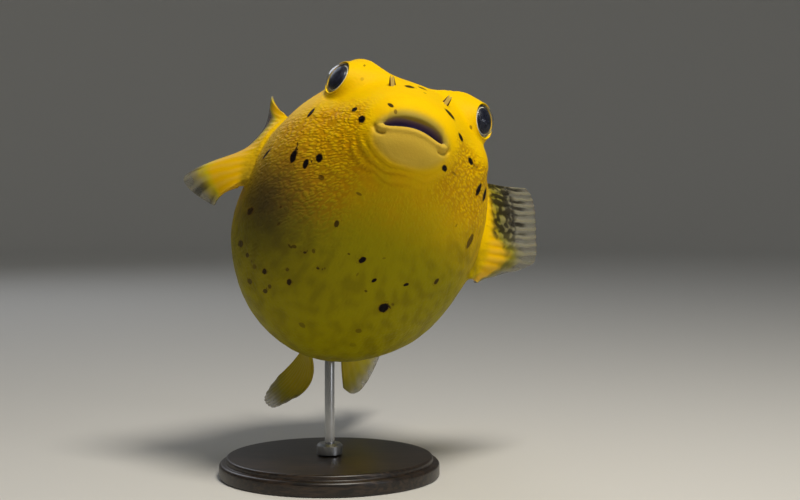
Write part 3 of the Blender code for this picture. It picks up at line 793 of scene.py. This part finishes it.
# Spots: where a point lies inside a spot's outline, as a share of its half length and half width.
spot = np.full((len(places), 3), FAR)
depth = np.zeros(len(places))
nearest = np.full(len(places), np.inf)
for s, angle, length, width, turn, dark in all_spots():
    place, around, along, out = (v[0] for v in surface(s, math.radians(angle)))
    turn = math.radians(turn)
    across = places - place
    a = across @ (around * math.cos(turn) + along * math.sin(turn))
    b = across @ (along * math.cos(turn) - around * math.sin(turn))
    c = across @ out
    grow = HEAD_GROWTH if s < HEAD_END else BODY_GROWTH
    half_length, half_breadth = length / 2000 * grow, width / 2000 * grow * BREADTH_GROWTH
    reach = np.hypot(a / (half_length + SPOT_RIM), b / (half_breadth + SPOT_RIM))
    close = (reach < 1) & (np.abs(c) < SPOT_THROW) & (reach < nearest) & (kinds < 0.5)
    nearest[close] = reach[close]
    spot[close] = np.stack([a / half_length, b / half_breadth, 0 * a], -1)[close]
    depth[close] = dark

# Where the lips, the mouth and the cheeks are; the painted shade below on the belly and above the
# upper lip; how deep in a fold or between two waves each place is, for painted shade there; and how
# much of the painted shadow on the right flank each place has.
gap, over = mouth_distance(places)
front = on_face(places)
lip = front * np.where(over < 0, falling(pad_share(places), 1.12, 0.25), falling(gap, 0.0055, 0.005))
mouth = rising(y, 0.0022, 0.0016) * ease(0.5 - gap / 0.0030) * falling(y, 0.020, 0.004)
upper_shade = bell(np.clip(gap, 0, None), 0.0042) * (over > 0) * front
cheek = bell(y - 0.035, 0.030) * rising(z, -0.045, 0.03) * falling(z, 0.03, 0.03)
cheek *= 1 - 0.7 * rising(x, 0, 0.02)
belly_shade = falling(z, -0.004, 0.044)
crease_shade = np.clip(-chin_folds(places), 0, 1)
flank_shadow = bell(np.linalg.norm(places - surface(*FLANK_SHADOW_PLACE)[0][0], axis=1), FLANK_SHADOW_SPREAD)
hollow_shade = np.clip(0.3 - 1.6 * skin_waves(places), 0, 1) * rising(y, 0.030, 0.03) * falling(z, 0, 0.03)

skin.transform(FISH)
bmesh.ops.recalc_face_normals(skin, faces=skin.faces)


def attribute(tree, name, output="Vector"):
    return node(tree, "Attribute", attribute_name=name).outputs[output]


def calc(tree, operation, a, b=0.0, c=0.0):
    return node(tree, "Math", {0: a, 1: b, 2: c}, operation=operation).outputs[0]


def times(tree, *values):
    """The product of two or more values."""
    product = values[0]
    for value in values[1:]:
        product = calc(tree, "MULTIPLY", product, value)
    return product


def line(tree, value, slope, level):
    return calc(tree, "MULTIPLY_ADD", value, slope, level)


def axes(tree, vector):
    return list(node(tree, "SeparateXYZ", {0: vector}).outputs)


def mixed(tree, share, a, b):
    """Colour a turning to b by a share; colours are sRGB codes or outputs."""
    a, b = (linear(v) if isinstance(v, str) else v for v in (a, b))
    return node(tree, "Mix", {0: share, 6: a, 7: b}, data_type="RGBA").outputs[2]


def step_up(tree, value, low, high, top=1.0):
    """0 below low and top above high, with a smooth rise (or a fall, where high is the lower)."""
    bottom, start, end = (0.0, low, high) if high > low else (top, high, low)
    full = top if high > low else 0.0
    settings = {"interpolation_type": "SMOOTHSTEP"}
    return node(tree, "MapRange", {0: value, 1: start, 2: end, 3: bottom, 4: full}, **settings).outputs[0]


def band(tree, value, start, full, fade, end):
    """1 from full to fade, 0 before start and after end."""
    return times(tree, step_up(tree, value, start, full), step_up(tree, value, end, fade))


def noise(tree, vector, millimetres, detail=2.0, rough=0.5, warp=0.0):
    """A noise value with features of about this size."""
    inputs = {"Vector": vector, "Scale": 1000 / millimetres, "Detail": detail}
    inputs.update({"Roughness": rough, "Distortion": warp})
    return node(tree, "TexNoise", inputs).outputs["Fac"]


# A puffer's skin: warm yellow, beaded and wrinkled, with soft-edged black spots. Painted shade
# makes it olive below and darker in its furrows, folds and hollows and above the upper lip, and a
# painted shadow lies on the right flank.
moist = {"Roughness": 0.52, "Specular IOR Level": 0.05}
flesh = {"Subsurface Weight": 0.06, "Subsurface Radius": (1.0, 0.45, 0.1), "Subsurface Scale": 0.0015}
puffer_skin, tree, shader = principled("puffer_skin", {**moist, **flesh})
fish_place = attribute(tree, "fish_place")
on_lip, in_mouth, wrinkled = axes(tree, attribute(tree, "parts"))
on_cheek, on_belly_shade, above_lip_shade = axes(tree, attribute(tree, "tint_and_shade"))
in_crease_shade, in_flank_shadow, in_hollow_shade = axes(tree, attribute(tree, "shade"))
phase, outward, kind = axes(tree, attribute(tree, "fin_place"))

# Beads of skin in rows that follow the grain and sway a little, with furrows between them that are
# painted darker, as shade.
BEAD_MM, SWAY_MM, SWAY_WIDTH = 1.3, 4.0, 0.0022
run = attribute(tree, "grain")
sway = node(tree, "TexNoise", {"Vector": run, "Scale": 1000 / SWAY_MM, "Detail": 1.0}).outputs["Color"]
sway = node(tree, "VectorMath", {0: sway, 1: (0.5,) * 3}, operation="SUBTRACT").outputs[0]
swayed = node(tree, "VectorMath", {0: sway, 1: (SWAY_WIDTH,) * 3, 2: run}, operation="MULTIPLY_ADD")
inputs = {"Vector": swayed.outputs[0], "Scale": 1000 / BEAD_MM, "Smoothness": 0.5, "Randomness": 0.7}
beads = node(tree, "TexVoronoi", inputs, feature="SMOOTH_F1").outputs["Distance"]
crest = step_up(tree, beads, 0.66, 0.20)
furrow_shade = times(tree, calc(tree, "SUBTRACT", 1.0, crest), step_up(tree, wrinkled, 0.40, 0.95))
pebble = noise(tree, fish_place, 0.9, 1.0)
blotch = step_up(tree, noise(tree, fish_place, 9.0, 3.0), 0.40, 0.66, 0.42)

# Painted shade: darker olive towards the belly, the underside that a top light leaves in shade.
colour = mixed(tree, on_belly_shade, "#efc100", "#968c08")
# More painted shade: the furrows between the beads, the valleys of the chin's folds, the hollows between the
# belly's waves, the shadow on the right flank and the strip above the upper lip. The cheeks' warm blotches,
# the lips and the mouth's violet inside are the skin's own colours.
for share, strength, code in (
    (on_cheek, blotch, "#d98f00"),
    (furrow_shade, 0.50, "#ae6c00"),
    (in_crease_shade, 0.45, "#9a5e00"),
    (in_hollow_shade, 0.42, "#665808"),
    (in_flank_shadow, 0.88, "#352b24"),
    (on_lip, 0.72, "#c3a648"),
    (above_lip_shade, 0.78, "#766e30"),
    (in_mouth, 1.0, "#5c4f86"),
):
    colour = mixed(tree, times(tree, share, strength), colour, code)

# Spots: a black core with a ragged edge and a brown halo.
ragged = line(tree, noise(tree, fish_place, 1.5, 1.5), 0.44, -0.22)
inside = node(tree, "VectorMath", {0: attribute(tree, "spot")}, operation="LENGTH").outputs["Value"]
inside = calc(tree, "ADD", inside, ragged)
dark = attribute(tree, "spot_depth", "Fac")
colour = mixed(tree, times(tree, step_up(tree, inside, 1.5, 0.8, 0.55), dark), colour, "#7d4d0a")
colour = mixed(tree, times(tree, step_up(tree, inside, 1.15, 0.85), dark), colour, "#120d0e")

# Fins: yellow and fleshy at the root, grey and clear towards the margin, with paler rays. The kinds
# are whole numbers, blended over a facet where two pieces meet.
is_left = calc(tree, "COMPARE", kind, KINDS["pectoral_left"], 0.4)
is_right = calc(tree, "COMPARE", kind, KINDS["pectoral_right"], 0.4)
is_median = step_up(tree, kind, 2.4, 2.6)
upper = times(tree, is_left, step_up(tree, phase, 9.5, 6.0))
grey_web = times(tree, is_right, band(tree, phase, 0.5, 1.8, 5.8, 8.0))
cloud = calc(tree, "SUBTRACT", noise(tree, fish_place, 7.0), 0.5)
ray = line(tree, calc(tree, "COSINE", times(tree, line(tree, cloud, 0.45, phase), 2 * math.pi)), 0.5, 0.5)

# How far past the end of the fleshy part a place is. That end lies about half way out.
fleshy_end = 0.50
for share, shift in ((is_left, -0.18), (upper, -0.22), (is_median, 0.20), (grey_web, -0.46)):
    fleshy_end = line(tree, share, shift, fleshy_end)
past = calc(tree, "SUBTRACT", line(tree, cloud, 0.22, outward), fleshy_end)
outer = step_up(tree, past, 0.04, 0.36)
thin = mixed(tree, is_left, mixed(tree, is_median, "#c9b30e", "#a3961a"), "#8c8420")
web = mixed(tree, step_up(tree, past, -0.10, 0.10), mixed(tree, is_median, "#e2b000", "#b8a312"), thin)
web = mixed(tree, outer, web, mixed(tree, grey_web, "#8b8775", "#5d5560"))
paler = times(tree, line(tree, outer, 0.22, 0.06), line(tree, grey_web, -0.8, 1.0))
web = mixed(tree, times(tree, ray, paler), web, "#d6cda0")


def between_rays(stretch, size, detail):
    """Noise drawn out along the rays: a unit across is the gap between two of them."""
    along = node(tree, "CombineXYZ", {0: phase, 1: times(tree, outward, stretch), 2: kind})
    return noise(tree, along.outputs[0], size, detail)


# The left pectoral has black dots near its root and bars past them. The right one has dark tips.
dots = step_up(tree, between_rays(10.0, 900, 1.5), 0.35, 0.54)
wedges = times(tree, step_up(tree, between_rays(1.6, 1100, 0.0), 0.36, 0.56), step_up(tree, ray, 0.75, 0.25))
near = times(tree, step_up(tree, past, -0.05, 0.04), step_up(tree, outward, 0.54, 0.40))
near = times(tree, near, dots, line(tree, upper, 0.60, 0.30))
bars = times(tree, band(tree, outward, 0.34, 0.46, 0.54, 0.82), wedges, line(tree, upper, 0.75, 0.15))
tips_dark = times(tree, band(tree, outward, 0.50, 0.70, 0.88, 1.0), is_right, times(tree, wedges, 0.58))
barred = times(tree, is_left, calc(tree, "MAXIMUM", near, bars))
barred = calc(tree, "ADD", barred, tips_dark)
web = mixed(tree, barred, web, "#1a150f")
on_fin = times(tree, band(tree, kind, 0.3, 0.7, 5.2, 5.8), step_up(tree, outward, 0.02, 0.14))
colour = mixed(tree, on_fin, colour, web)
clear = times(tree, on_fin, times(tree, outer, line(tree, ray, -0.14, 0.64)))
clear = times(tree, clear, calc(tree, "SUBTRACT", 1.0, times(tree, barred, 0.8)))
tree.links.new(calc(tree, "SUBTRACT", 1.0, clear), shader.inputs["Alpha"])

flap = mixed(tree, step_up(tree, phase, 0.50, 0.74), "#b79a48", "#46290f")
colour = mixed(tree, step_up(tree, kind, 5.3, 5.9), colour, flap)
tree.links.new(colour, shader.inputs["Base Color"])

height = line(tree, pebble, 0.30, times(tree, crest, wrinkled))
height = times(tree, height, calc(tree, "SUBTRACT", 1.0, on_fin))
relief = node(tree, "Bump", {"Strength": 1.0, "Distance": 0.00030, "Height": height})
tree.links.new(relief.outputs[0], shader.inputs["Normal"])

skin = piece("skin", skin, puffer_skin)
for name, values in (
    ("fish_place", places),
    ("grain", along_body(places)),
    ("parts", np.stack([lip, mouth, wrinkling(places)], -1)),
    ("tint_and_shade", np.stack([cheek, belly_shade, upper_shade], -1)),
    ("shade", np.stack([crease_shade, flank_shadow, hollow_shade], -1)),
    ("spot", spot),
    ("spot_depth", depth),
):
    form, field = ("FLOAT_VECTOR", "vector") if values.ndim == 2 else ("FLOAT", "value")
    layer = skin.data.attributes.new(name, form, "POINT")
    layer.data.foreach_set(field, np.ascontiguousarray(values, np.float32).ravel())
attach(skin, "root")
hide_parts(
    "head", "upper_lip", "lower_lip", "trunk", "tail", "nostril_left", "nostril_right",
    "pectoral_fin_left", "pectoral_fin_right", "dorsal_fin", "anal_fin", "caudal_fin",
)


# ------------------------------
# Eyes. A dark globe with a very wide pupil, a lens that bulges through it, a thin pale ring round
# it and a dark, faintly streaked iris, under a clear cornea that stands out past the lid.
# All in mm: radii, then heights ahead of the eye's centre.
GLOBE_RADIUS, CORNEA_RADIUS, CORNEA_INNER = 9.15, 9.48, 9.2
CORNEA_EDGE, CORNEA_INNER_EDGE = 8.2, 8.1
PUPIL_RADIUS, RING_RADIUS, IRIS_RADIUS = 6.3, 6.75, 8.1
IRIS_LEVEL, LENS_TOP = 4.35, 7.7
RING_LEVEL, PUPIL_LEVEL = IRIS_LEVEL + 0.34, IRIS_LEVEL + 0.5
EYE_STEPS = 96

# Pupil: the dark inside of the eye behind the lens. Ring: the pale tissue at the iris's inner edge.
deep_black = {"Base Color": linear("#11131f"), "Roughness": 0.45, "Specular IOR Level": 0.2}
black_pupil, tree, shader = principled("black_pupil", deep_black)
pale_ring, tree, shader = principled("pale_ring", {"Base Color": linear("#b3ae98"), "Roughness": 0.4})

# Iris: dark pigmented tissue with faint, paler streaks.
dark_iris, tree, shader = principled("dark_iris", {"Roughness": 0.4})
place = node(tree, "TexCoord").outputs["Object"]
streak = step_up(tree, noise(tree, place, 0.9, 3.0), 0.4, 0.68)
tree.links.new(mixed(tree, streak, "#20222c", "#565247"), shader.inputs["Base Color"])

# Cornea: clear, moist, living tissue.
glassy = {"Base Color": linear("#f4f7fa"), "Roughness": 0.07, "IOR": 1.17, "Transmission Weight": 1.0}
clear_cornea, tree, shader = principled("clear_cornea", glassy)


def ball(radius, start, end, count):
    """Points of a ball's profile, between two angles from its pole."""
    return [(radius * math.sin(a), radius * math.cos(a)) for a in np.linspace(start, end, count)]


for word, sign in (("left", 1), ("right", -1)):
    centre, gaze = at_eye(sign)
    turn = FISH @ Matrix.Translation(centre) @ gaze.to_track_quat("Z", "Y").to_matrix().to_4x4()
    turn = turn @ Matrix.Scale(0.001, 4)
    profile = ball(GLOBE_RADIUS, math.pi, math.asin(IRIS_RADIUS / GLOBE_RADIUS), 30)
    profile[0] = (0, -GLOBE_RADIUS)
    profile += [(7.9, IRIS_LEVEL), (7.4, IRIS_LEVEL + 0.15), (RING_RADIUS, IRIS_LEVEL + 0.35)]
    profile += [(RING_RADIUS - 0.08, IRIS_LEVEL + 0.45), (PUPIL_RADIUS, PUPIL_LEVEL)]
    lens = LENS_TOP - IRIS_LEVEL - 0.5
    for a in np.linspace(0, math.pi / 2, 14)[1:]:
        profile.append((PUPIL_RADIUS * math.cos(a), PUPIL_LEVEL + lens * math.sin(a)))
    profile[-1] = (0, LENS_TOP)
    globe = turned(profile, EYE_STEPS)
    for f in globe.faces:
        x, y, z = f.calc_center_median()
        ringed = z > RING_LEVEL and math.hypot(x, y) < RING_RADIUS + 0.01
        f.material_index = 0 if z > PUPIL_LEVEL else 1 if ringed else 2
    bmesh.ops.transform(globe, matrix=turn, verts=globe.verts)
    eyeball = piece(f"eyeball_{word}", globe, black_pupil, pale_ring, dark_iris)
    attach(eyeball, "root")
    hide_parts(f"eye_{word}")

    shell = ball(CORNEA_RADIUS, 0, math.asin(CORNEA_EDGE / CORNEA_RADIUS), 22)
    shell += ball(CORNEA_INNER, math.asin(CORNEA_INNER_EDGE / CORNEA_INNER), 0, 22)
    cornea = piece(f"cornea_{word}", turned(shell, EYE_STEPS, turn=turn), clear_cornea)
    cornea.visible_shadow = False
    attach(cornea, "root")


# ------------------------------
# Stand base. A turned disc of black-stained hardwood with a shallow step and a rounded rim,
# satin lacquered; it lies flat on the floor and carries the rod's collar at its middle.
BASE_STEPS = 160


def arc(centre, radius, start, end, count=6):
    """Points of a rounded corner in a profile, angles in degrees."""
    return [
        (centre[0] + radius * math.cos(a), centre[1] + radius * math.sin(a))
        for a in np.radians(np.linspace(start, end, count))
    ]


# Black-stained hardwood under satin lacquer, its grain drawn out along X.
stained_wood, tree, shader = principled("black_stained_wood", {"Roughness": 0.36})
place = node(tree, "TexCoord").outputs["Object"]
drawn = node(tree, "Mapping", {"Vector": place, "Scale": (0.08, 1.0, 1.0)}).outputs[0]
figure = noise(tree, drawn, 1.6, 4.0, 0.6, 0.4)
stain = mixed(tree, step_up(tree, figure, 0.35, 0.7), "#14100d", "#3a2d22")
tree.links.new(stain, shader.inputs["Base Color"])
relief = node(tree, "Bump", {"Strength": 0.6, "Distance": 0.00006, "Height": figure})
tree.links.new(relief.outputs[0], shader.inputs["Normal"])

rim = [
    (0, 0.0), (53.6, 0.0), *arc((53.6, 1.2), 1.2, -90, 0), (54.8, 5.4), *arc((53.0, 5.4), 1.8, 0, 90),
    (52.2, 7.2), *arc((52.2, 7.9), 0.7, -90, -180), (51.5, 8.6), *arc((50.2, 8.6), 1.3, 0, 90), (0, 9.9),
]
wood = turned([(r / 1000, h / 1000) for r, h in rim], BASE_STEPS)
base = piece("stand_plinth", wood, stained_wood)
base.data.set_sharp_from_angle(angle=math.radians(50))
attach(base, "root")
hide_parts("stand_base")


# ------------------------------
# Collar and rod. Brushed stainless steel: the collar is turned with chamfered edges and screwed
# down on the base; the rod is pressed into it and enters the belly from below.
STEEL_STEPS = 64
STEEL_PIECES = (
    # piece, the node it replaces, and its profile in mm
    (
        "collar", "stand_collar",
        [(0, 10.35), (6.0, 10.35), (6.4, 10.75), (6.4, 14.9), (5.3, 16.1), (0, 16.1)],
    ),
    ("rod", "stand_rod", [(0, 15.8), (2.45, 15.8), (2.45, 56.5), (2.2, 57.2), (0, 57.2)]),
)

# Stainless steel, brushed round the axis.
steel = {"Base Color": linear("#b9babb"), "Metallic": 1.0, "Roughness": 0.32}
brushed_steel, tree, shader = principled("brushed_steel", steel)
place = node(tree, "TexCoord").outputs["Object"]
drawn = node(tree, "Mapping", {"Vector": place, "Scale": (1.0, 1.0, 14.0)}).outputs[0]
relief = node(tree, "Bump", {"Strength": 0.25, "Distance": 0.00002, "Height": noise(tree, drawn, 1.2, 2.0)})
tree.links.new(relief.outputs[0], shader.inputs["Normal"])

for name, cad_node, profile in STEEL_PIECES:
    bar = turned([(r / 1000, h / 1000) for r, h in profile], STEEL_STEPS)
    made = piece(name, bar, brushed_steel)
    made.data.set_sharp_from_angle(angle=math.radians(35))
    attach(made, "root")
    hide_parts(cad_node)
